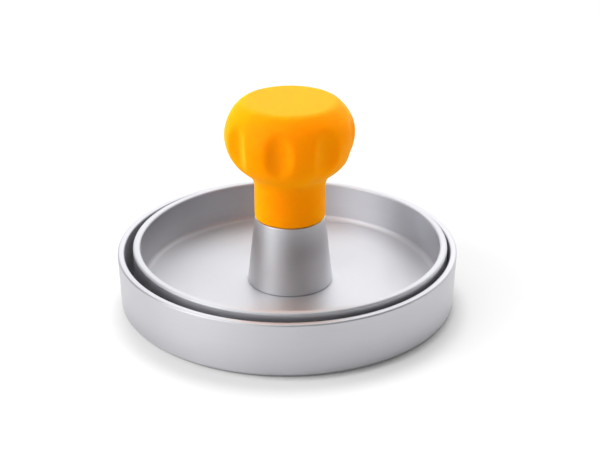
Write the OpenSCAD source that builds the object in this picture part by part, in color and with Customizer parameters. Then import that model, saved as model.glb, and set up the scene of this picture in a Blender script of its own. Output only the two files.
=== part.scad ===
// Hand burger press: a round mould dish, and a press plate with a conical stem and a fluted knob.
// The origin is the centre of the mould's underside, +Z is up and +X is to the right. Millimetres.

/* [Mould] */
// Outside diameter of the mould at its rim
mould_d = 120; // [90:1:160]
// Height of the mould
mould_h = 19.4; // [14:0.1:35]
// Thickness of the mould's wall
mould_wall = 2.4; // [1.6:0.1:4]
// Thickness of the mould's floor
mould_floor = 2.6; // [1.6:0.1:5]
// How much narrower the mould is at its foot than at its rim
mould_taper = 1.4; // [0:0.1:2]
// Radius of the mould's outer bottom edge
mould_foot_round = 1.2; // [0.4:0.1:2.5]
// Radius of the edges of the mould's rim
mould_rim_round = 0.7; // [0.2:0.1:0.8]
// Radius inside the mould, where its wall meets its floor
mould_cove = 1.5; // [0.5:0.1:3]

/* [Press plate] */
// Clearance all round between the plate and the mould's rim
plate_gap = 2.1; // [1.8:0.1:4]
// How far off the mould's centre the press stands, to the right
press_offset = 1; // [0:0.1:1]
// How far the plate's rim stands above the mould's rim
plate_rise = 1.8; // [0:0.1:8]
// Thickness of the plate's upturned wall
plate_wall = 2.6; // [1.6:0.1:4]
// Thickness of the plate's floor
plate_floor = 2.5; // [1.5:0.1:4]
// Radius of the plate's outer bottom edge
plate_foot_round = 2; // [0.5:0.1:3]
// Radius of the edges of the plate's rim
plate_rim_round = 0.8; // [0.2:0.1:0.8]
// Radius inside the plate, where its wall meets its floor
plate_cove = 2; // [0.5:0.1:4]
// Height of the rings under the plate
ridge_h = 1; // [0.5:0.1:2]
// Width of a ring under the plate
ridge_w = 2.4; // [1.5:0.1:4]
// Spacing of the rings under the plate
ridge_pitch = 9; // [6:0.5:14]
// Radius of the innermost ring under the plate
ridge_first = 14; // [10:0.5:18]
// Diameter of the boss that centres the stem
boss_d = 16; // [14:0.2:18]
// Height of the boss that centres the stem
boss_h = 3; // [2:0.2:6]

/* [Stem] */
// Diameter of the stem at its foot
stem_foot_d = 30.4; // [29.4:0.2:40]
// Diameter of the stem at its top, and of the knob's neck
stem_top_d = 24.8; // [23:0.2:28]
// Height of the stem
stem_h = 24.8; // [18:0.2:40]
// Thickness of the web across the top of the stem
stem_web = 4; // [2.5:0.1:6]
// Bevel round the stem's foot
stem_bevel = 0.6; // [0.2:0.1:1]
// Diameter of the spigot on top of the stem
spigot_d = 12; // [10:0.2:14]
// Height of the spigot on top of the stem
spigot_h = 2.5; // [1.5:0.1:4]

/* [Gasket] */
// Outside diameter of the gasket under the stem
gasket_d = 26; // [25:0.2:27]
// Width of the gasket's ring
gasket_w = 3; // [2:0.1:3.4]
// Thickness of the gasket
gasket_t = 1; // [0.6:0.1:2]

/* [Knob] */
// Largest diameter of the knob
knob_d = 45.2; // [42:0.2:56]
// Height of the knob's widest part above the top of the stem
knob_waist_h = 30.6; // [26:0.2:40]
// Radius of the knob's shoulder, above its widest part
shoulder_r = 14.2; // [13:0.2:18]
// Height of the knob's flat top above its widest part
knob_top_h = 12; // [9:0.1:12.8]
// Radius of the edge round the knob's flat top
top_edge_r = 4.4; // [1:0.2:8]
// Radius of the knob's underside, below its widest part
belly_r = 15.6; // [14:0.2:18]
// Radius of the hollow where the neck meets the knob's underside
throat_r = 8; // [4:0.5:10]
// Radius of the edge at the bottom of the knob's neck
neck_round = 0.8; // [0.2:0.1:1.5]
// Number of finger flutes round the knob
flute_n = 8; // [5:1:10]
// Width of a finger flute at its middle
flute_w = 9.2; // [7:0.2:11]
// Height of a flute's upper end above the knob's widest part
flute_up = 7; // [5:0.1:9.5]
// Depth of a flute's lower end below the knob's widest part
flute_down = 8.6; // [7:0.1:11]
// Turn of the first flute from +X
flute_turn = 35.5; // [0:0.5:60]

/* [Knob core] */
// Thickness of the grip round the neck of the core
grip_neck_wall = 3.4; // [2:0.1:4]
// Thickness of the grip round the head of the core
grip_head_wall = 6.1; // [5.6:0.1:8]
// Thickness of the grip over the top of the core
grip_top_wall = 4.3; // [3.5:0.1:8]
// Height of the chamfer round the top of the core
core_chamfer = 6; // [4:0.5:7]
// Height of the core's straight side
core_side_h = 5; // [3:0.5:6]
// Width across the flats of the threaded insert
insert_flats = 10; // [9:0.5:11]
// Length of the threaded insert
insert_l = 14; // [12:0.5:16]
// Diameter of the flange that keeps the insert in the core
insert_flange_d = 14; // [13:0.5:15]
// Thickness of the insert's flange
insert_flange_t = 2; // [1:0.5:4]

/* [Clamp screw] */
// Diameter of the screw's thread
screw_d = 6; // [5:0.5:6]
// Diameter of the screw's countersunk head
screw_head_d = 12; // [11:0.5:12.5]
// Length of the screw's thread inside the insert
screw_grip = 10; // [8:0.5:11]
// Width across the flats of the hexagon socket
socket_flats = 4; // [3:0.5:5]
// Depth of the hexagon socket
socket_depth = 2; // [1:0.1:2.4]

/* [Fits] */
// Clearance of the screw in the holes that it passes through
hole_fit = 0.3; // [0.1:0.05:0.4]
// Clearance between pieces that locate each other
slip_fit = 0.2; // [0.1:0.05:0.3]
// Clearance between pieces that are moulded or threaded together
bond_fit = 0.05; // [0.02:0.01:0.1]
// Clearance round the gasket in its groove
gasket_fit = 0.3; // [0.2:0.05:0.4]

/* [Hidden] */

$fn = 96;
arc_step = 6;   // degrees between the points of a rounded outline
embed = 0.4;    // how deep a joined feature is rooted in its base
past = 1;       // how far a cut runs past the face that it starts from

// Heights of the stack, from the table up
plate_under_z = mould_floor + ridge_h;
plate_top_z = plate_under_z + plate_floor;
plate_rim_z = mould_h + plate_rise;
stem_top_z = plate_top_z + stem_h;
waist_z = stem_top_z + knob_waist_h;
insert_z = stem_top_z + spigot_h + slip_fit;
screw_tip_z = insert_z + screw_grip;

// Radii that follow from the driving sizes
mould_r = mould_d / 2;
mould_foot_r = mould_r - mould_taper / 2;
plate_r = mould_r - mould_wall - plate_gap;
ridge_last = plate_r - plate_foot_round - ridge_w;
ridge_n = floor((ridge_last - ridge_first) / ridge_pitch) + 1;
neck_r = stem_top_d / 2;
knob_r = knob_d / 2;
hole_r = screw_d / 2 + hole_fit;
stem_bore_r = boss_d / 2 + slip_fit;

// Centres of the knob's arcs as [radius, height]: belly, shoulder, throat and top edge
belly_c = [knob_r - belly_r, waist_z];
shoulder_c = [knob_r - shoulder_r, waist_z];
throat_x = neck_r + throat_r;
throat_c = [throat_x, waist_z - sqrt(pow(belly_r + throat_r, 2) - pow(throat_x - belly_c[0], 2))];
top_edge_a = asin((knob_top_h - top_edge_r) / (shoulder_r - top_edge_r));
top_edge_c = shoulder_c + (shoulder_r - top_edge_r) * [cos(top_edge_a), sin(top_edge_a)];
throat_a = atan2(belly_c[1] - throat_c[1], belly_c[0] - throat_c[0]);
belly_a = atan2(throat_c[1] - belly_c[1], throat_c[0] - belly_c[0]);
knob_top_z = waist_z + knob_top_h;

// A flute is a straight round cut along the chord between its upper and lower ends
flute_top = [shoulder_c[0] + sqrt(pow(shoulder_r, 2) - pow(flute_up, 2)), waist_z + flute_up];
flute_low = [belly_c[0] + sqrt(pow(belly_r, 2) - pow(flute_down, 2)), waist_z - flute_down];
flute_tilt = atan2(flute_top[0] - flute_low[0], flute_top[1] - flute_low[1]);
flute_out = [cos(flute_tilt), -sin(flute_tilt)];
flute_crest = belly_c + belly_r * flute_out;
flute_depth = (flute_crest - flute_top) * flute_out;
flute_floor_r = flute_crest[0] - flute_depth;
flute_cos = sqrt(1 - pow(flute_w / 2 / flute_crest[0], 2));
flute_r = (pow(flute_crest[0], 2) + pow(flute_floor_r, 2) - 2 * flute_crest[0] * flute_floor_r * flute_cos)
    / (2 * (flute_crest[0] * flute_cos - flute_floor_r));
flute_mid = (flute_top + flute_low) / 2 + flute_r * flute_out;

// The core follows the knob from inside
core_neck_r = neck_r - grip_neck_wall;
core_head_r = knob_r - grip_head_wall;
core_top_z = knob_top_z - grip_top_wall;
core_side_z = core_top_z - core_chamfer - core_side_h;

// Points of an arc round [x, z] from angle a to angle b
function arc(x, z, r, a, b) =
    let (n = max(3, ceil(abs(b - a) / arc_step)))
    [for (i = [0 : n]) let (t = a + (b - a) * i / n) [x + r * cos(t), z + r * sin(t)]];

// Half section of a round dish with a tapered wall, rounded edges and a cove inside
function dish_section(rim_r, foot_r, h, wall, floor_t, foot_round, rim_round, cove) =
    let (
        tilt = atan2(rim_r - foot_r, h),
        side = function (z) foot_r + (rim_r - foot_r) * z / h,
        lean = 1 / cos(tilt),
        rim_z = h - rim_round,
        cove_z = floor_t + cove
    )
    concat(
        [[0, 0]],
        arc(side(foot_round) - foot_round * lean, foot_round, foot_round, -90, -tilt),
        arc(side(rim_z) - rim_round * lean, rim_z, rim_round, -tilt, 90),
        arc(side(rim_z) - wall + rim_round * lean, rim_z, rim_round, 90, 180 - tilt),
        arc(side(cove_z) - wall - cove * lean, cove_z, cove, -tilt, -90),
        [[0, floor_t]]
    );

// Half section of the knob's outside, from the bottom of its neck to its flat top
function knob_section() =
    concat(
        [[0, stem_top_z]],
        arc(neck_r - neck_round, stem_top_z + neck_round, neck_round, -90, 0),
        arc(throat_c[0], throat_c[1], throat_r, 180, throat_a),
        arc(belly_c[0], belly_c[1], belly_r, belly_a, 0),
        arc(shoulder_c[0], shoulder_c[1], shoulder_r, 0, top_edge_a),
        arc(top_edge_c[0], top_edge_c[1], top_edge_r, top_edge_a, 90),
        [[0, knob_top_z]]
    );

// Half section of the knob's core, grown by fit on every side that the grip covers
function core_section(fit) =
    let (neck = core_neck_r + fit, head = core_head_r + fit)
    [
        [0, stem_top_z],
        [neck, stem_top_z],
        [neck, core_side_z - (core_head_r - core_neck_r)],
        [head, core_side_z],
        [head, core_side_z + core_side_h],
        [head - core_chamfer, core_top_z + fit],
        [0, core_top_z + fit]
    ];

// Puts a piece on the press's own axis, which stands off the mould's centre
module on_press_axis() {
    translate([press_offset, 0, 0])
        children();
}

// Flat ring between two radii
module ring(inner_r, outer_r, z, h) {
    translate([0, 0, z])
        difference() {
            cylinder(r = outer_r, h = h);
            translate([0, 0, -past])
                cylinder(r = inner_r, h = h + 2 * past);
        }
}

// Hexagonal bush with a flange at its upper end, grown by fit
module insert_body(fit) {
    translate([0, 0, insert_z - fit])
        cylinder(d = (insert_flats + 2 * fit) / cos(30), h = insert_l + 2 * fit, $fn = 6);
    translate([0, 0, insert_z + insert_l - insert_flange_t - fit])
        cylinder(d = insert_flange_d + 2 * fit, h = insert_flange_t + 2 * fit);
}

module mould_dish() {
    color("silver")
        rotate_extrude()
            polygon(dish_section(mould_r, mould_foot_r, mould_h, mould_wall, mould_floor,
                mould_foot_round, mould_rim_round, mould_cove));
}

// Rings that stand the plate off the mould's floor and groove the meat
module plate_ridges() {
    for (i = [0 : ridge_n - 1])
        translate([0, 0, mould_floor])
            rotate_extrude()
                translate([ridge_first + i * ridge_pitch, 0])
                    polygon([
                        [-ridge_w / 4, 0], [ridge_w / 4, 0],
                        [ridge_w / 2, ridge_h], [ridge_w / 2, ridge_h + embed],
                        [-ridge_w / 2, ridge_h + embed], [-ridge_w / 2, ridge_h]
                    ]);
}

module press_plate() {
    head_r = screw_head_d / 2 + slip_fit;
    color("silver")
        on_press_axis()
            difference() {
                union() {
                    translate([0, 0, plate_under_z])
                        rotate_extrude()
                            polygon(dish_section(plate_r, plate_r, plate_rim_z - plate_under_z, plate_wall,
                                plate_floor, plate_foot_round, plate_rim_round, plate_cove));
                    plate_ridges();
                    translate([0, 0, plate_top_z - embed])
                        cylinder(d = boss_d, h = boss_h + embed);
                }
                translate([0, 0, plate_under_z - past])
                    cylinder(r = hole_r, h = plate_floor + boss_h + 2 * past);
                translate([0, 0, plate_under_z - past])
                    cylinder(r = head_r, h = past);
                translate([0, 0, plate_under_z])
                    cylinder(r1 = head_r, r2 = hole_r, h = head_r - hole_r);
            }
}

module stem() {
    foot_r = stem_foot_d / 2;
    bore_h = stem_h - stem_web;
    color("darkgray")
        on_press_axis()
            difference() {
                union() {
                    rotate_extrude()
                        polygon([
                            [0, plate_top_z], [foot_r - stem_bevel, plate_top_z],
                            [foot_r, plate_top_z + stem_bevel], [neck_r, stem_top_z], [0, stem_top_z]
                        ]);
                    translate([0, 0, stem_top_z - embed])
                        cylinder(d = spigot_d, h = spigot_h + embed);
                }
                translate([0, 0, plate_top_z - past])
                    cylinder(r = stem_bore_r, h = bore_h + past);
                translate([0, 0, plate_top_z])
                    cylinder(r = hole_r, h = stem_h + spigot_h + past);
                ring(gasket_d / 2 - gasket_w - gasket_fit, gasket_d / 2 + gasket_fit,
                    plate_top_z - past, gasket_t + past);
            }
}

module stem_gasket() {
    color("whitesmoke")
        on_press_axis()
            ring(gasket_d / 2 - gasket_w, gasket_d / 2, plate_top_z, gasket_t);
}

// Round cuts for the fingers, fading out above and below the knob's widest part
module finger_flutes() {
    for (i = [0 : flute_n - 1])
        rotate([0, 0, flute_turn + i * 360 / flute_n])
            translate([flute_mid[0], 0, flute_mid[1]])
                rotate([0, flute_tilt, 0])
                    cylinder(r = flute_r, h = 2 * knob_r, center = true);
}

module grip() {
    color("orange")
        on_press_axis()
            difference() {
                rotate_extrude()
                    polygon(knob_section());
                finger_flutes();
                rotate_extrude()
                    polygon(core_section(bond_fit));
            }
}

module knob_core() {
    color("dimgray")
        on_press_axis()
            difference() {
                rotate_extrude()
                    polygon(core_section(0));
                translate([0, 0, stem_top_z - past])
                    cylinder(d = spigot_d + 2 * slip_fit, h = past + spigot_h + slip_fit);
                insert_body(bond_fit);
            }
}

module threaded_insert() {
    color("goldenrod")
        on_press_axis()
            difference() {
                insert_body(0);
                translate([0, 0, insert_z - past])
                    cylinder(d = screw_d + 2 * bond_fit, h = insert_l + 2 * past);
            }
}

module clamp_screw() {
    head_r = screw_head_d / 2;
    shank_r = screw_d / 2;
    color("gainsboro")
        on_press_axis()
            difference() {
                union() {
                    translate([0, 0, plate_under_z])
                        cylinder(r1 = head_r, r2 = shank_r, h = head_r - shank_r);
                    translate([0, 0, plate_under_z])
                        cylinder(r = shank_r, h = screw_tip_z - plate_under_z);
                }
                translate([0, 0, plate_under_z - past])
                    cylinder(d = socket_flats / cos(30), h = socket_depth + past, $fn = 6);
            }
}

mould_dish();
press_plate();
stem();
stem_gasket();
grip();
knob_core();
threaded_insert();
clamp_screw();
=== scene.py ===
"""Looks of a hand burger press: a satin aluminium mould, and a press with a fluted orange knob.

Everything is in metres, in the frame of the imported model: +Z up, +X right, -Y towards the viewer.
"""

import math

import bmesh
import bpy
from bpy.props import FloatProperty, FloatVectorProperty, IntProperty, PointerProperty
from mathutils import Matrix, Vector


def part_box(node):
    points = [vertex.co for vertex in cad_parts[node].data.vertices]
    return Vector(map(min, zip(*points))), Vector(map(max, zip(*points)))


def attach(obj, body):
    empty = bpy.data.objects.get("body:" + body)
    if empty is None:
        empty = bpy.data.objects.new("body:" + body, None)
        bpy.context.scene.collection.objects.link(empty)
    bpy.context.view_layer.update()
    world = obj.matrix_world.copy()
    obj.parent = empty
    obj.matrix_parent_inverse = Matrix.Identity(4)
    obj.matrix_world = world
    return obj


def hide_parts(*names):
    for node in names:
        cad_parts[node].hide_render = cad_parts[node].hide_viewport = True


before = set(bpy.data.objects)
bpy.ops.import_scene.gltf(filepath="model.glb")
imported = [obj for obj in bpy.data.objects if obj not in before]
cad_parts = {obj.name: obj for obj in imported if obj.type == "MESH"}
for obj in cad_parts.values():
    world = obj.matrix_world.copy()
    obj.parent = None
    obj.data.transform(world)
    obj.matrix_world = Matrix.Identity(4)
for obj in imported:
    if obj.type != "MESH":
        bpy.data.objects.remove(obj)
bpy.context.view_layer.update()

bl_info = {
    "name": "Burger press",
    "version": (1, 0, 0),
    "blender": (4, 5, 0),
    "location": "View3D > Sidebar > Burger press",
    "description": "Models and finishes a hand burger press round its packed solids",
    "category": "Object",
}

MM = 0.001

# Points closer than this are one point
SAME_PLACE = 1e-7
# How far a vertex may lie from the ring that it belongs to
ON_RING = 1e-6
# Faces that meet at a larger angle keep a sharp edge
SHARP_ANGLE = math.radians(35)
# Steps of a full turn of each spun piece
DISH_STEPS = 256
STEM_STEPS = 192
GRIP_STEPS = 384
SCREW_STEPS = 48
# A vertex that a flute reaches by less than this share of its soft edge stays where it is
UNTOUCHED = 0.00025
# Halvings in the search for a flute's surface
FLUTE_HALVINGS = 24

# The frame's own boxes give the radii and heights that the pieces share
MOULD_LOW, MOULD_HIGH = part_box("mould_dish")
PLATE_LOW, PLATE_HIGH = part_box("press_plate")
STEM_LOW, STEM_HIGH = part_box("stem")
GRIP_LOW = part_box("grip")[0]
CORE_LOW, CORE_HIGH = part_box("knob_core")
SCREW_LOW, SCREW_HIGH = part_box("clamp_screw")
GASKET_LOW, GASKET_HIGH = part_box("stem_gasket")
MOULD_CENTRE = Vector((0, 0, 0))
PRESS_CENTRE = Vector(((PLATE_LOW.x + PLATE_HIGH.x) / 2, 0, 0))


def half_width(low, high):
    """Half of a round node's width, across Y."""
    return (high.y - low.y) / 2


def length(name, description, default):
    """A size that the user can change, in metres."""
    return FloatProperty(
        name=name, description=description, default=default, unit="LENGTH", precision=5
    )


def share(name, description, default):
    """A number from 0 to 1 that the user can change."""
    return FloatProperty(
        name=name, description=description, default=default, min=0, max=1, subtype="FACTOR"
    )


def angle(name, description, degrees):
    """An angle that the user can change, given here in degrees."""
    return FloatProperty(
        name=name, description=description, default=math.radians(degrees), subtype="ANGLE"
    )


def count(name, description, default, least):
    """A number of like features that the user can change."""
    return IntProperty(name=name, description=description, default=default, min=least)


def colour(name, description, default):
    """A colour that the user can change."""
    return FloatVectorProperty(
        name=name, description=description, default=default, size=3, min=0, max=1, subtype="COLOR"
    )


class MouldSizes(bpy.types.PropertyGroup):
    """Sizes of the mould dish."""

    rim_radius: length("Rim radius", "Outside radius at the rim", half_width(MOULD_LOW, MOULD_HIGH))
    height: length("Height", "Height of the rim above the table", MOULD_HIGH.z)
    taper: length("Taper", "How much narrower the foot is than the rim, on each side", 0.7 * MM)
    wall: length("Wall", "Thickness of the wall", 2.4 * MM)
    floor: length("Floor", "Thickness of the floor", 2.6 * MM)
    rim_round: length("Rim edge", "Radius of the rim's edges", 0.7 * MM)
    foot_round: length("Foot edge", "Radius of the outer bottom edge", 1.2 * MM)
    cove: length("Cove", "Radius inside, where the wall meets the floor", 1.5 * MM)


class PlateSizes(bpy.types.PropertyGroup):
    """Sizes of the press plate."""

    radius: length("Radius", "Outside radius", half_width(PLATE_LOW, PLATE_HIGH))
    rim_height: length("Rim height", "Height of the rim above the table", PLATE_HIGH.z)
    floor_top: length("Floor", "Height of the floor's upper face above the table", GASKET_LOW.z)
    floor: length("Floor thickness", "Thickness of the floor", 2.5 * MM)
    wall: length("Wall", "Thickness of the upturned wall", 2.6 * MM)
    rim_round: length("Rim edge", "Radius of the rim's edges", 0.8 * MM)
    foot_round: length("Foot edge", "Radius of the outer bottom edge", 2 * MM)
    cove: length("Cove", "Radius inside, where the wall meets the floor", 2 * MM)
    ridge_first: length("First ring", "Radius of the innermost ring underneath", 14 * MM)
    ridge_pitch: length("Ring spacing", "Spacing of the rings underneath", 9 * MM)
    ridge_width: length("Ring width", "Width of a ring underneath", 2.4 * MM)
    ridge_count: count("Rings", "Number of rings underneath", 5, least=1)
    boss_radius: length("Boss radius", "Radius of the boss that centres the stem", 8 * MM)
    boss_height: length("Boss height", "Height of the boss that centres the stem", 3 * MM)
    hole_radius: length("Hole radius", "Radius of the screw's hole", 3.3 * MM)
    sink_radius: length("Countersink radius", "Radius of the countersink's mouth", 6.2 * MM)


class StemSizes(bpy.types.PropertyGroup):
    """Sizes of the conical stem."""

    foot_radius: length("Foot radius", "Radius at the foot", half_width(STEM_LOW, STEM_HIGH))
    top_radius: length("Top radius", "Radius under the knob", 12.4 * MM)
    bore_radius: length("Bore radius", "Radius of the hollow inside", 8.2 * MM)
    web: length("Web", "Thickness of the web across the top", 4 * MM)
    spigot_radius: length("Spigot radius", "Radius of the spigot on top", 6 * MM)
    hole_radius: length("Hole radius", "Radius of the screw's hole", 3.3 * MM)
    groove_inner: length("Groove inside", "Inner radius of the gasket's groove", 9.7 * MM)
    groove_outer: length("Groove outside", "Outer radius of the gasket's groove", 13.3 * MM)
    bevel: length("Foot bevel", "Bevel round the foot", 0.6 * MM)


class KnobSizes(bpy.types.PropertyGroup):
    """Sizes of the knob's orange grip."""

    radius: length("Radius", "Largest radius of the head", 22.6 * MM)
    waist: length("Waist height", "Height of the widest part above the grip's bottom", 30.6 * MM)
    neck_radius: length("Neck radius", "Radius of the neck", 12.4 * MM)
    neck_round: length("Neck edge", "Radius of the edge at the bottom of the neck", 0.8 * MM)
    shoulder: length("Shoulder", "Radius of the shoulder above the widest part", 14.2 * MM)
    top_height: length("Top height", "Height of the flat top above the widest part", 12 * MM)
    top_edge: length("Top edge", "Radius of the edge round the flat top", 4.4 * MM)
    belly: length("Belly", "Radius of the underside below the widest part", 15.6 * MM)
    throat: length("Throat", "Radius of the hollow between the neck and the underside", 8 * MM)
    flute_count: count("Flutes", "Number of finger flutes", 8, least=3)
    flute_width: length("Flute width", "Width of a flute at its middle", 9.2 * MM)
    flute_up: length("Flute top", "Height of a flute's end above the widest part", 7 * MM)
    flute_down: length("Flute bottom", "Depth of a flute's end below the widest part", 8.6 * MM)
    flute_soft: length("Flute edge", "How far a flute's edges are rounded over", 1.1 * MM)
    flute_turn: angle("Flute turn", "Turn of the first flute from +X", 35.5)
    cavity_fit: length("Cavity clearance", "Clearance round the core", 0.05 * MM)
    core_neck: length("Core neck", "Radius of the core's neck", 9 * MM)
    core_side: length("Core side", "Height of the core's straight side", 5 * MM)
    core_chamfer: length("Core chamfer", "Height of the chamfer round the core's top", 6 * MM)


class ScrewSizes(bpy.types.PropertyGroup):
    """Sizes of the clamp screw."""

    head_radius: length(
        "Head radius", "Radius of the countersunk head", half_width(SCREW_LOW, SCREW_HIGH)
    )
    head_edge: length("Head edge", "Height of the straight edge round the head", 0.25 * MM)
    shank_radius: length("Shank radius", "Radius of the shank", 3 * MM)
    tip_chamfer: length("Tip chamfer", "Chamfer at the shank's tip", 0.6 * MM)
    socket_flats: length("Socket", "Width across the flats of the hexagon socket", 4 * MM)
    socket_depth: length("Socket depth", "Depth of the hexagon socket", 2 * MM)


class Finishes(bpy.types.PropertyGroup):
    """Colours and roughness of the finishes."""

    # The mould and the plate are one aluminium; the mould's tint is set darker than the plate's to
    # stand in for the dimmer light on the mould, a painted shade
    mould_colour_with_painted_shade: colour("Mould", "Tint of the mould's satin aluminium", (0.60, 0.60, 0.63))
    mould_rough: share("Mould roughness", "Roughness of the mould", 0.42)
    plate_colour: colour("Plate", "Tint of the plate's satin aluminium", (0.67, 0.675, 0.705))
    plate_rough: share("Plate roughness", "Roughness of the plate", 0.34)
    pan_rough: share("Pan floor roughness", "Roughness added on the plate's floor and rim", 0.20)
    stem_colour: colour("Stem", "Tint of the stem's satin aluminium", (0.68, 0.705, 0.735))
    stem_rough: share("Stem roughness", "Roughness of the stem", 0.36)
    grip_colour: colour("Grip", "Orange of the grip", (1.0, 0.29, 0.0))
    grip_rough: share("Grip roughness", "Roughness of the grip", 0.5)
    screw_colour: colour("Screw", "Tint of the screw's stainless steel", (0.6, 0.6, 0.6))
    screw_rough: share("Screw roughness", "Roughness of the screw", 0.3)
    insert_colour: colour("Insert", "Tint of the insert's brass", (0.72, 0.47, 0.16))
    insert_rough: share("Insert roughness", "Roughness of the insert", 0.3)
    gasket_colour: colour("Gasket", "White of the gasket's silicone", (0.78, 0.78, 0.75))
    gasket_rough: share("Gasket roughness", "Roughness of the gasket", 0.6)
    core_colour: colour("Core", "Black of the core's nylon", (0.03, 0.03, 0.033))
    core_rough: share("Core roughness", "Roughness of the core", 0.5)


class StageSettings(bpy.types.PropertyGroup):
    """Camera, light and floor."""

    focal: FloatProperty(
        name="Focal length", description="Camera's focal length in millimetres", default=84.8
    )
    distance: length("Distance", "From the camera to the point that it looks at", 0.5)
    elevation: angle("Elevation", "Camera's angle above the table", 24.9)
    aim: FloatVectorProperty(
        name="Aim", description="Point that the camera looks at",
        default=(0.0045, 0, 0.0246), subtype="XYZ",
    )
    floor_colour: colour("Floor", "Colour of the table", (0.65, 0.65, 0.65))
    floor_lift: share("Floor lift", "Share of plain white in the table near the press", 0.23)
    # These four settings draw a painted contact shadow: the table turns dark grey at the mould's
    # foot, on the side away from the light, where occlusion finds the mould near
    painted_shadow_colour: colour("Contact shade", "Table's colour at the mould's foot", (0.1, 0.1, 0.1))
    contact_reach: length("Contact reach", "How far the foot darkens the table", 6 * MM)
    contact_side: angle("Contact side", "Turn from the viewer to the light's side", -150)
    contact_rise: angle("Contact rise", "How high that light stands", 10)


class PressSettings(bpy.types.PropertyGroup):
    """All sizes and finishes of the burger press."""

    mould: PointerProperty(type=MouldSizes)
    plate: PointerProperty(type=PlateSizes)
    stem: PointerProperty(type=StemSizes)
    knob: PointerProperty(type=KnobSizes)
    screw: PointerProperty(type=ScrewSizes)
    finish: PointerProperty(type=Finishes)
    stage: PointerProperty(type=StageSettings)


class Link:
    """A node's output. Arithmetic on it adds Math nodes."""

    def __init__(self, graph, socket):
        self.graph = graph
        self.socket = socket

    def _math(self, operation, first, second):
        return self.graph.node("ShaderNodeMath", {"operation": operation}, {0: first, 1: second})

    def __add__(self, other):
        return self._math("ADD", self, other)

    def __radd__(self, other):
        return self._math("ADD", other, self)

    def __sub__(self, other):
        return self._math("SUBTRACT", self, other)

    def __rsub__(self, other):
        return self._math("SUBTRACT", other, self)

    def __mul__(self, other):
        return self._math("MULTIPLY", self, other)

    def __rmul__(self, other):
        return self._math("MULTIPLY", other, self)

    def __pow__(self, power):
        return self._math("POWER", self, power)


class Graph:
    """The nodes of one material or world."""

    def __init__(self, tree):
        self.tree = tree
        self.tree.nodes.clear()

    def node(self, kind, settings=None, inputs=None, output=0):
        """Adds a node: its settings are set first, then its sockets' values and links."""
        made = self.tree.nodes.new(kind)
        for name, value in (settings or {}).items():
            setattr(made, name, value)
        for key, value in (inputs or {}).items():
            if isinstance(value, Link):
                self.tree.links.new(value.socket, made.inputs[key])
            else:
                made.inputs[key].default_value = value
        return Link(self, made.outputs[output]) if made.outputs else made

    def mix(self, factor, first, second):
        """Mixes two colours."""
        colours = {0: factor, 6: first, 7: second}
        return self.node("ShaderNodeMix", {"data_type": "RGBA"}, colours, 2)

    def noise(self, vector, scale, detail):
        """Noise from 0 to 1, with its scale in features to the metre."""
        inputs = {"Vector": vector, "Scale": scale, "Detail": detail}
        return self.node("ShaderNodeTexNoise", {"normalize": True}, inputs)

    def ramp(self, value, low, high, start=0.0, end=1.0):
        """A smooth step from start to end, as a value goes from low to high."""
        inputs = {"Value": value, "From Min": low, "From Max": high, "To Min": start, "To Max": end}
        return self.node("ShaderNodeMapRange", {"interpolation_type": "SMOOTHSTEP"}, inputs)

    def bump(self, height, strength, depth):
        """A normal that is tilted by a height."""
        inputs = {"Strength": strength, "Distance": depth, "Height": height}
        return self.node("ShaderNodeBump", inputs=inputs)

    def axes(self, vector):
        """The three numbers of a vector."""
        split = self.node("ShaderNodeSeparateXYZ", inputs={0: vector}).socket.node
        return [Link(self, socket) for socket in split.outputs]

    def surface(self, **sockets):
        """The material's Principled shader, joined to its output."""
        values = {name.replace("_", " "): value for name, value in sockets.items()}
        shader = self.node("ShaderNodeBsdfPrincipled", inputs=values)
        self.node("ShaderNodeOutputMaterial", inputs={"Surface": shader})


def new_material(name):
    """An empty node material and its graph."""
    material = bpy.data.materials.new(name)
    material.use_nodes = True
    return material, Graph(material.node_tree)


def rgba(rgb, gain=1.0):
    """A colour with its alpha, brighter or darker by gain."""
    return (*(min(1.0, channel * gain) for channel in rgb), 1.0)


def turned_metal(name, tint, rough, centre, matt=0.0, grooved=0.7):
    """Satin metal turned about an upright axis: fine rings, faint smudges and a soft sheen.

    Matt is the roughness that is added on faces that look up. Grooved is how far the rings
    stretch the highlights across them.
    """
    material, graph = new_material(name)
    place = graph.node("ShaderNodeTexCoord", output="Object")
    place = graph.node("ShaderNodeMapping", inputs={"Vector": place, "Location": -centre})
    x, y, z = graph.axes(place)
    radius = (x * x + y * y) ** 0.5
    ring_place = graph.node("ShaderNodeCombineXYZ", inputs={0: radius, 1: z, 2: 0.0})
    fine = graph.noise(ring_place, scale=2600.0, detail=1.0)
    broad = graph.noise(ring_place, scale=420.0, detail=2.0)
    smudge = graph.noise(place, scale=46.0, detail=4.0)
    grain = graph.noise(place, scale=5200.0, detail=1.0)
    shade = 0.45 * fine + 0.25 * broad + 0.3 * smudge
    upwards = graph.axes(graph.node("ShaderNodeTexCoord", output="Normal"))[2]
    level = graph.ramp(upwards, low=0.1, high=0.5)
    graph.surface(
        Base_Color=graph.mix(shade, rgba(tint, 0.95), rgba(tint, 1.05)),
        Metallic=1.0,
        Anisotropic=grooved,
        Anisotropic_Rotation=0.25,
        Roughness=rough + 0.06 * (fine - 0.5) + 0.08 * (smudge - 0.5) + matt * level,
        Normal=graph.bump(0.7 * fine + 0.3 * grain, strength=0.06, depth=0.2 * MM),
    )
    return material


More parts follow.
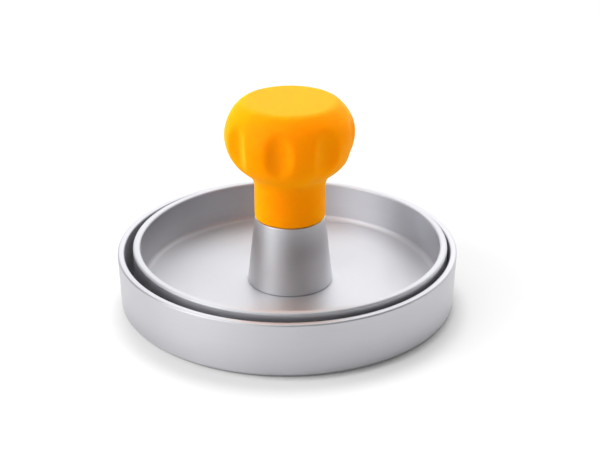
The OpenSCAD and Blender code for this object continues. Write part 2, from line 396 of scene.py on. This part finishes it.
def moulded_plastic(name, tint, rough):
    """Satin orange plastic: a fine spark-eroded grain, with light that sinks a little into it."""
    material, graph = new_material(name)
    place = graph.node("ShaderNodeTexCoord", output="Object")
    grain = graph.noise(place, scale=2300.0, detail=2.0)
    cloud = graph.noise(place, scale=60.0, detail=3.0)
    graph.surface(
        Base_Color=graph.mix(cloud, rgba(tint, 0.97), rgba(tint, 1.03)),
        Roughness=rough + 0.06 * (grain - 0.5) + 0.04 * (cloud - 0.5),
        Specular_IOR_Level=0.05,
        Subsurface_Weight=1.0,
        Subsurface_Radius=(0.35, 0.2, 0.02),
        Subsurface_Scale=6 * MM,
        Normal=graph.bump(grain, strength=0.05, depth=0.1 * MM),
    )
    return material


def plain_moulding(name, tint, rough):
    """Unseen mouldings and seals: matt, with a faint cloudy tone and grain."""
    material, graph = new_material(name)
    place = graph.node("ShaderNodeTexCoord", output="Object")
    cloud = graph.noise(place, scale=180.0, detail=3.0)
    grain = graph.noise(place, scale=2500.0, detail=2.0)
    graph.surface(
        Base_Color=graph.mix(cloud, rgba(tint, 0.92), rgba(tint, 1.08)),
        Roughness=rough + 0.1 * (cloud - 0.5),
        Normal=graph.bump(grain, strength=0.08, depth=0.1 * MM),
    )
    return material


def arc(centre, radius, start, end, steps):
    """Points of an arc round (r, z), between two angles in radians."""
    turns = [start + (end - start) * i / steps for i in range(steps + 1)]
    return [(centre[0] + radius * math.cos(t), centre[1] + radius * math.sin(t)) for t in turns]


def spun(outline, centre, steps, closed):
    """A mesh spun round an upright axis from an outline of (r, z) points."""
    bm = bmesh.new()
    verts = [bm.verts.new((centre.x + r, centre.y, z)) for r, z in outline]
    pairs = list(zip(verts, verts[1:]))
    if closed:
        pairs.append((verts[-1], verts[0]))
    edges = [bm.edges.new(pair) for pair in pairs]
    bmesh.ops.spin(
        bm, geom=verts + edges, cent=centre, axis=(0, 0, 1), dvec=(0, 0, 0),
        angle=2 * math.pi, steps=steps, use_merge=True, use_duplicate=False,
    )
    bmesh.ops.remove_doubles(bm, verts=bm.verts, dist=SAME_PLACE)
    bmesh.ops.recalc_face_normals(bm, faces=bm.faces)
    return bm


def round_rings(bm, centre, corners):
    """Rounds the ring edges at each corner, given as (r, z, radius, segments)."""
    for r, z, radius, segments in corners:
        ring = [e for e in bm.edges if all(on_ring(v.co, centre, r, z) for v in e.verts)]
        if not ring:
            raise RuntimeError(f"no edge runs round at radius {r:.4f} and height {z:.4f}")
        bmesh.ops.bevel(
            bm, geom=ring, offset=radius, offset_type="OFFSET", segments=segments,
            profile=0.5, affect="EDGES", material=-1, clamp_overlap=True,
        )


def on_ring(point, centre, r, z):
    """Whether a point lies on the ring at that radius and height."""
    reach = math.hypot(point.x - centre.x, point.y - centre.y)
    return abs(reach - r) < ON_RING and abs(point.z - z) < ON_RING


def finished(bm, name, material, body, node):
    """Makes the mesh a piece that rides on its body and stands for its node."""
    mesh = bpy.data.meshes.new(name)
    bm.to_mesh(mesh)
    bm.free()
    mesh.shade_smooth()
    mesh.set_sharp_from_angle(angle=SHARP_ANGLE)
    mesh.materials.append(material)
    piece = bpy.data.objects.new(name, mesh)
    bpy.context.scene.collection.objects.link(piece)
    normals = piece.modifiers.new("even_normals", "WEIGHTED_NORMAL")
    normals.keep_sharp = True
    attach(piece, body)
    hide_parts(node)


class PRESS_OT_mould(bpy.types.Operator):
    """Models the mould dish"""

    bl_idname = "burger_press.mould"
    bl_label = "Mould dish"

    def execute(self, context):
        settings = context.scene.burger_press
        size = settings.mould
        foot = size.rim_radius - size.taper
        inner_rim = size.rim_radius - size.wall
        inner_foot = foot + size.taper * size.floor / size.height - size.wall
        bm = spun(
            [
                (0, 0), (foot, 0), (size.rim_radius, size.height),
                (inner_rim, size.height), (inner_foot, size.floor), (0, size.floor),
            ],
            MOULD_CENTRE, steps=DISH_STEPS, closed=False,
        )
        round_rings(bm, MOULD_CENTRE, [
            (foot, 0, size.foot_round, 6),
            (size.rim_radius, size.height, size.rim_round, 5),
            (inner_rim, size.height, size.rim_round, 5),
            (inner_foot, size.floor, size.cove, 6),
        ])
        finish = settings.finish
        material = turned_metal(
            "satin_mould_aluminium", finish.mould_colour_with_painted_shade, finish.mould_rough, MOULD_CENTRE
        )
        finished(bm, "mould_shell", material, "mould", "mould_dish")
        return {"FINISHED"}


class PRESS_OT_plate(bpy.types.Operator):
    """Models the press plate with its rings underneath"""

    bl_idname = "burger_press.plate"
    bl_label = "Press plate"

    def execute(self, context):
        settings = context.scene.burger_press
        size = settings.plate
        under = size.floor_top - size.floor
        inner = size.radius - size.wall
        boss_top = size.floor_top + size.boss_height
        sink_top = under + size.sink_radius - size.hole_radius
        rings = [size.ridge_first + i * size.ridge_pitch for i in range(size.ridge_count)]
        ridge_outline = [
            point
            for r in rings
            for point in (
                (r - size.ridge_width / 2, under), (r - size.ridge_width / 4, PLATE_LOW.z),
                (r + size.ridge_width / 4, PLATE_LOW.z), (r + size.ridge_width / 2, under),
            )
        ]
        bm = spun(
            [
                (size.hole_radius, sink_top), (size.sink_radius, under), *ridge_outline,
                (size.radius, under), (size.radius, size.rim_height),
                (inner, size.rim_height), (inner, size.floor_top),
                (size.boss_radius, size.floor_top), (size.boss_radius, boss_top),
                (size.hole_radius, boss_top),
            ],
            PRESS_CENTRE, steps=DISH_STEPS, closed=True,
        )
        round_rings(bm, PRESS_CENTRE, [
            (size.radius, under, size.foot_round, 7),
            (size.radius, size.rim_height, size.rim_round, 5),
            (inner, size.rim_height, size.rim_round, 5),
            (inner, size.floor_top, size.cove, 8),
        ])
        finish = settings.finish
        material = turned_metal(
            "satin_plate_aluminium", finish.plate_colour, finish.plate_rough, PRESS_CENTRE,
            matt=finish.pan_rough,
        )
        finished(bm, "press_pan", material, "press", "press_plate")
        return {"FINISHED"}


class PRESS_OT_stem(bpy.types.Operator):
    """Models the hollow conical stem"""

    bl_idname = "burger_press.stem"
    bl_label = "Stem"

    def execute(self, context):
        settings = context.scene.burger_press
        size = settings.stem
        foot_z = STEM_LOW.z
        top_z = GRIP_LOW.z
        groove_z = GASKET_HIGH.z
        bm = spun(
            [
                (size.bore_radius, foot_z), (size.groove_inner, foot_z),
                (size.groove_inner, groove_z), (size.groove_outer, groove_z),
                (size.groove_outer, foot_z),
                (size.foot_radius, foot_z), (size.top_radius, top_z), (size.spigot_radius, top_z),
                (size.spigot_radius, STEM_HIGH.z), (size.hole_radius, STEM_HIGH.z),
                (size.hole_radius, top_z - size.web), (size.bore_radius, top_z - size.web),
            ],
            PRESS_CENTRE, steps=STEM_STEPS, closed=True,
        )
        round_rings(bm, PRESS_CENTRE, [
            (size.foot_radius, foot_z, size.bevel, 4),
            (size.top_radius, top_z, size.bevel / 2, 3),
        ])
        finish = settings.finish
        material = turned_metal(
            "satin_stem_aluminium", finish.stem_colour, finish.stem_rough, PRESS_CENTRE,
            grooved=0.8,
        )
        finished(bm, "stem_sleeve", material, "press", "stem")
        return {"FINISHED"}


class PRESS_OT_grip(bpy.types.Operator):
    """Models the orange grip with its finger flutes"""

    bl_idname = "burger_press.grip"
    bl_label = "Fluted grip"

    def execute(self, context):
        settings = context.scene.burger_press
        size = settings.knob
        bm = spun(self.outline(size), PRESS_CENTRE, steps=GRIP_STEPS, closed=False)
        self.cut_flutes(bm, size)
        bmesh.ops.recalc_face_normals(bm, faces=bm.faces)
        finish = settings.finish
        material = moulded_plastic("orange_grip_plastic", finish.grip_colour, finish.grip_rough)
        finished(bm, "fluted_grip", material, "press", "grip")
        return {"FINISHED"}

    @staticmethod
    def outline(size):
        """Half section: down the outside from the flat top, then up the cavity for the core."""
        bottom = GRIP_LOW.z
        waist = bottom + size.waist
        belly = (size.radius - size.belly, waist)
        shoulder = (size.radius - size.shoulder, waist)
        throat_r = size.neck_radius + size.throat
        reach = size.belly + size.throat
        throat = (throat_r, waist - math.sqrt(reach ** 2 - (throat_r - belly[0]) ** 2))
        edge_reach = size.shoulder - size.top_edge
        edge_angle = math.asin((size.top_height - size.top_edge) / edge_reach)
        edge = (
            shoulder[0] + edge_reach * math.cos(edge_angle),
            waist + edge_reach * math.sin(edge_angle),
        )
        throat_angle = math.atan2(belly[1] - throat[1], belly[0] - throat[0])
        neck = (size.neck_radius - size.neck_round, bottom + size.neck_round)
        core_neck = size.core_neck + size.cavity_fit
        core_head = half_width(CORE_LOW, CORE_HIGH) + size.cavity_fit
        core_top = CORE_HIGH.z + size.cavity_fit
        side_top = CORE_HIGH.z - size.core_chamfer
        side_low = side_top - size.core_side
        quarter = math.pi / 2
        return [
            (0, waist + size.top_height),
            *arc(edge, size.top_edge, quarter, edge_angle, 14),
            *arc(shoulder, size.shoulder, edge_angle, 0, 32)[1:],
            *arc(belly, size.belly, 0, throat_angle - math.pi, 40)[1:],
            *arc(throat, size.throat, throat_angle, math.pi, 14)[1:],
            *arc(neck, size.neck_round, 0, -quarter, 5),
            (core_neck, bottom),
            (core_neck, side_low - (core_head - core_neck)),
            (core_head, side_low),
            (core_head, side_top),
            (core_head - size.core_chamfer, core_top),
            (0, core_top),
        ]

    @staticmethod
    def cut_flutes(bm, size):
        """Draws the outside in to each flute: a straight round cut, with its edges rounded over."""
        waist = GRIP_LOW.z + size.waist
        belly_r = size.radius - size.belly
        top_r = size.radius - size.shoulder + math.sqrt(size.shoulder ** 2 - size.flute_up ** 2)
        low_r = belly_r + math.sqrt(size.belly ** 2 - size.flute_down ** 2)
        top = Vector((top_r, 0, waist + size.flute_up))
        low = Vector((low_r, 0, waist - size.flute_down))
        along = (top - low).normalized()
        outwards = Vector((along.z, 0, -along.x))
        crest = Vector((belly_r, 0, waist)) + size.belly * outwards
        floor_r = crest.x - (crest - top).dot(outwards)
        cosine = math.sqrt(1 - (size.flute_width / 2 / crest.x) ** 2)
        chord = crest.x ** 2 + floor_r ** 2 - 2 * crest.x * floor_r * cosine
        cutter = chord / (2 * (crest.x * cosine - floor_r))
        axis_point = (top + low) / 2 + cutter * outwards
        pitch = 2 * math.pi / size.flute_count

        def outside(radius, skin, turn, z):
            """Above 0 where a point is outside the skin or inside the flute's cut."""
            offset = Vector((radius * math.cos(turn), radius * math.sin(turn), z)) - axis_point
            within = cutter - (offset - offset.dot(along) * along).length
            beyond = radius - skin
            overlap = max(size.flute_soft - abs(beyond - within), 0) / size.flute_soft
            return max(beyond, within) + overlap ** 2 * size.flute_soft / 4

        for vert in bm.verts:
            arm = vert.co - PRESS_CENTRE
            skin = math.hypot(arm.x, arm.y)
            if skin < size.neck_radius or vert.co.z < GRIP_LOW.z + size.neck_round:
                continue
            turn = (math.atan2(arm.y, arm.x) - size.flute_turn + pitch / 2) % pitch - pitch / 2
            if outside(skin, skin, turn, vert.co.z) <= UNTOUCHED * size.flute_soft:
                continue
            low_guess, high_guess = skin / 2, skin
            for _ in range(FLUTE_HALVINGS):
                middle = (low_guess + high_guess) / 2
                if outside(middle, skin, turn, vert.co.z) > 0:
                    high_guess = middle
                else:
                    low_guess = middle
            vert.co.x = PRESS_CENTRE.x + arm.x * low_guess / skin
            vert.co.y = PRESS_CENTRE.y + arm.y * low_guess / skin


class PRESS_OT_screw(bpy.types.Operator):
    """Models the countersunk clamp screw"""

    bl_idname = "burger_press.screw"
    bl_label = "Clamp screw"

    def execute(self, context):
        settings = context.scene.burger_press
        size = settings.screw
        head_z = SCREW_LOW.z
        tip_z = SCREW_HIGH.z
        cone_top = head_z + size.head_radius - size.shank_radius
        head_r = size.head_radius - size.head_edge
        bm = spun(
            [
                (0, tip_z), (size.shank_radius - size.tip_chamfer, tip_z),
                (size.shank_radius, tip_z - size.tip_chamfer), (size.shank_radius, cone_top),
                (head_r, head_z + size.head_edge), (head_r, head_z),
            ],
            PRESS_CENTRE, steps=SCREW_STEPS, closed=False,
        )
        rim = [e for e in bm.edges if e.is_boundary]
        self.sink_socket(bm, rim, head_z, size)
        bmesh.ops.recalc_face_normals(bm, faces=bm.faces)
        finish = settings.finish
        material = turned_metal(
            "stainless_screw", finish.screw_colour, finish.screw_rough, PRESS_CENTRE
        )
        finished(bm, "countersunk_screw", material, "press", "clamp_screw")
        return {"FINISHED"}

    @staticmethod
    def sink_socket(bm, rim, head_z, size):
        """Closes the head round a hexagon, and sinks that as the key's socket."""
        corner_r = size.socket_flats / math.sqrt(3)
        hexagon = bmesh.ops.create_circle(bm, segments=6, radius=corner_r)["verts"]
        bmesh.ops.translate(bm, verts=hexagon, vec=PRESS_CENTRE + Vector((0, 0, head_z)))
        sides = [e for e in bm.edges if e.is_wire]
        bmesh.ops.subdivide_edges(bm, edges=sides, cuts=SCREW_STEPS // 6 - 1)
        mouth = [e for e in bm.edges if e.is_wire]
        bmesh.ops.bridge_loops(bm, edges=rim + mouth)
        wall = bmesh.ops.extrude_edge_only(bm, edges=mouth)["geom"]
        bottom = [g for g in wall if isinstance(g, bmesh.types.BMVert)]
        bmesh.ops.translate(bm, verts=bottom, vec=(0, 0, size.socket_depth))
        edges = [g for g in wall if isinstance(g, bmesh.types.BMEdge) and g.is_boundary]
        bmesh.ops.holes_fill(bm, edges=edges)


class PRESS_OT_inner_pieces(bpy.types.Operator):
    """Finishes the solids that stay as they are: gasket, core and insert"""

    bl_idname = "burger_press.inner_pieces"
    bl_label = "Inner pieces"

    def execute(self, context):
        finish = context.scene.burger_press.finish
        finishes = {
            "stem_gasket": plain_moulding(
                "white_silicone", finish.gasket_colour, finish.gasket_rough
            ),
            "knob_core": plain_moulding("black_nylon", finish.core_colour, finish.core_rough),
            "threaded_insert": turned_metal(
                "turned_brass", finish.insert_colour, finish.insert_rough, PRESS_CENTRE
            ),
        }
        for node, material in finishes.items():
            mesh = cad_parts[node].data
            mesh.materials.clear()
            mesh.materials.append(material)
        return {"FINISHED"}


# The lamps light the plastic and the table: name, turn and rise in degrees, width, and watts
SOFTBOXES = (
    ("left_softbox", -85, 25, 0.8, 10.0),
    ("back_softbox", 180, 65, 0.45, 8.1),
    ("right_softbox", 90, 10, 1.2, 7.9),
    ("front_softbox", 20, 30, 0.7, 1.2),
)
SOFTBOX_DISTANCE = 1.2
# A weak lamp stands for the light that the pan throws up at the knob
BOUNCE_WIDTH = 0.09
BOUNCE_WATTS = 0.014
BOUNCE_GAP = 1 * MM
# The metal reflects the studio's soft glows: turn and rise in degrees, strength, and narrowness
GLOWS = (
    (180, 25, 1.15, 3.0),
    (135, 25, 0.43, 6.0),
    (180, 50, 1.03, 8.0),
    (0, 90, 0.8, 4.0),
    (-45, 25, 1.22, 6.0),
    (-65, 25, 2.1, 14.0),
    (-85, 6, 0.75, 12.0),
    (100, 15, 0.14, 8.0),
)
WHITE = (1, 1, 1, 1)
TABLE_HALF = 4.0
# The table lies this far below the mould, so that no two faces share a plane
TABLE_DROP = 0.1 * MM
# The table turns plain white between these distances from the press
WHITE_FROM, WHITE_AT = 0.12, 0.5
# Openness towards the light's side at which the painted contact shadow is full, and at which it is
# gone
SHADED_AT, LIT_AT = 0.36, 0.58
SHADE_SAMPLES = 16
SENSOR_WIDTH = 36
NEAR_CLIP = 0.01


def heading(turn, rise):
    """Direction that is turned from the viewer to the right and raised, both in radians."""
    level = math.cos(rise)
    return Vector((math.sin(turn) * level, -math.cos(turn) * level, math.sin(rise)))


class PRESS_OT_stage(bpy.types.Operator):
    """Sets up the table, the studio light and the camera"""

    bl_idname = "burger_press.stage"
    bl_label = "Stage"

    def execute(self, context):
        settings = context.scene.burger_press.stage
        self.lay_floor(context, settings)
        self.light_world(context)
        for name, turn, rise, width, watts in SOFTBOXES:
            towards = heading(math.radians(turn), math.radians(rise))
            self.hang_softbox(context, name, SOFTBOX_DISTANCE * towards, -towards, width, watts)
        pan = Vector((PRESS_CENTRE.x, 0, GASKET_LOW.z + BOUNCE_GAP))
        upwards = Vector((0, 0, 1))
        self.hang_softbox(context, "pan_bounce", pan, upwards, BOUNCE_WIDTH, BOUNCE_WATTS)
        self.place_camera(context, settings)
        context.scene.view_settings.view_transform = "Standard"
        return {"FINISHED"}

    @staticmethod
    def lay_floor(context, settings):
        """Lays the pale table, which turns plain white away from the press where it is seen, with a
        painted contact shadow at the mould's foot.
        """
        bm = bmesh.new()
        bmesh.ops.create_grid(bm, x_segments=1, y_segments=1, size=TABLE_HALF)
        bmesh.ops.translate(bm, verts=bm.verts, vec=(0, 0, -TABLE_DROP))
        mesh = bpy.data.meshes.new("table_top")
        bm.to_mesh(mesh)
        bm.free()
        material, graph = new_material("white_table")
        path = graph.node("ShaderNodeLightPath").socket.node
        seen = Link(graph, path.outputs["Is Camera Ray"])
        seen = seen + Link(graph, path.outputs["Is Glossy Ray"])
        seen = seen + Link(graph, path.outputs["Is Transmission Ray"])
        # Painted contact shadow: occlusion aimed at the light's side mixes the table towards a dark
        # grey, and takes the white lift away there
        lit_side = heading(settings.contact_side, settings.contact_rise)
        lit_side = graph.node("ShaderNodeCombineXYZ", inputs=dict(enumerate(lit_side)))
        openness = graph.node(
            "ShaderNodeAmbientOcclusion", {"samples": SHADE_SAMPLES},
            {"Distance": settings.contact_reach, "Normal": lit_side}, "AO",
        )
        lit = graph.node(
            "ShaderNodeMapRange",
            inputs={"Value": openness, "From Min": SHADED_AT, "From Max": LIT_AT},
        )
        # A dark grey diffuse, the colour of the painted contact shadow
        shade = graph.node(
            "ShaderNodeBsdfDiffuse", inputs={"Color": rgba(settings.painted_shadow_colour)}
        )
        cover = graph.node("ShaderNodeBsdfDiffuse", inputs={"Color": rgba(settings.floor_colour)})
        cover = graph.node("ShaderNodeMixShader", inputs={0: 1 - lit, 1: cover, 2: shade})
        place = graph.node("ShaderNodeTexCoord", output="Object")
        reach = graph.node("ShaderNodeVectorMath", {"operation": "LENGTH"}, {0: place}, "Value")
        paler = graph.ramp(reach, WHITE_FROM, WHITE_AT, start=settings.floor_lift)
        white = graph.node("ShaderNodeEmission", inputs={"Strength": 1.0})
        both = graph.node("ShaderNodeMixShader", inputs={0: seen * paler * lit, 1: cover, 2: white})
        graph.node("ShaderNodeOutputMaterial", inputs={"Surface": both})
        mesh.materials.append(material)
        floor = bpy.data.objects.new("table_top", mesh)
        context.scene.collection.objects.link(floor)

    @staticmethod
    def light_world(context):
        """Lights the world with soft white glows."""
        world = bpy.data.worlds.new("studio")
        world.use_nodes = True
        context.scene.world = world
        graph = Graph(world.node_tree)
        direction = graph.node("ShaderNodeTexCoord", output="Generated")
        glow = 0.0
        for turn, rise, strength, narrowness in GLOWS:
            towards = heading(math.radians(turn), math.radians(rise))
            facing = graph.node(
                "ShaderNodeVectorMath", {"operation": "DOT_PRODUCT"},
                {0: direction, 1: towards}, "Value",
            )
            lit = graph.node("ShaderNodeMath", {"operation": "MAXIMUM"}, {0: facing, 1: 0.0})
            glow = glow + strength * lit ** narrowness
        back = graph.node("ShaderNodeBackground", inputs={"Color": WHITE, "Strength": glow})
        graph.node("ShaderNodeOutputWorld", inputs={"Surface": back})

    @staticmethod
    def hang_softbox(context, name, place, facing, width, watts):
        """Hangs a square lamp, which metal doesn't reflect."""
        light = bpy.data.lights.new(name, "AREA")
        light.shape = "SQUARE"
        light.size = width
        light.energy = watts
        lamp = bpy.data.objects.new(name, light)
        lamp.location = place
        lamp.rotation_euler = facing.to_track_quat("-Z", "Y").to_euler()
        lamp.visible_glossy = False
        context.scene.collection.objects.link(lamp)

    @staticmethod
    def place_camera(context, settings):
        """Points the camera at the press from the front."""
        camera = bpy.data.cameras.new("photo_camera")
        camera.lens = settings.focal
        camera.sensor_width = SENSOR_WIDTH
        camera.clip_start = NEAR_CLIP
        rig = bpy.data.objects.new("photo_camera", camera)
        back = Vector((0, -math.cos(settings.elevation), math.sin(settings.elevation)))
        rig.location = Vector(settings.aim) + settings.distance * back
        rig.rotation_euler = (math.pi / 2 - settings.elevation, 0, 0)
        context.scene.collection.objects.link(rig)
        context.scene.camera = rig


class PRESS_PT_panel(bpy.types.Panel):
    """Sidebar panel that lists the pieces"""

    bl_idname = "PRESS_PT_panel"
    bl_label = "Burger press"
    bl_space_type = "VIEW_3D"
    bl_region_type = "UI"
    bl_category = "Burger press"

    def draw(self, context):
        for operator in OPERATORS:
            self.layout.operator(operator.bl_idname)


GROUPS = (
    MouldSizes, PlateSizes, StemSizes, KnobSizes, ScrewSizes,
    Finishes, StageSettings, PressSettings,
)
OPERATORS = (
    PRESS_OT_stage, PRESS_OT_mould, PRESS_OT_plate, PRESS_OT_stem,
    PRESS_OT_grip, PRESS_OT_screw, PRESS_OT_inner_pieces,
)
CLASSES = (*GROUPS, *OPERATORS, PRESS_PT_panel)


def register():
    """Adds the classes, and the settings to the scene."""
    for cls in CLASSES:
        bpy.utils.register_class(cls)
    bpy.types.Scene.burger_press = PointerProperty(type=PressSettings)


def unregister():
    """Takes away what register added."""
    del bpy.types.Scene.burger_press
    for cls in reversed(CLASSES):
        bpy.utils.unregister_class(cls)


def main():
    """Builds the stage and the pieces."""
    register()
    bpy.ops.burger_press.stage()
    bpy.ops.burger_press.mould()
    bpy.ops.burger_press.plate()
    bpy.ops.burger_press.stem()
    bpy.ops.burger_press.grip()
    bpy.ops.burger_press.screw()
    bpy.ops.burger_press.inner_pieces()


if __name__ == "__main__":
    main()
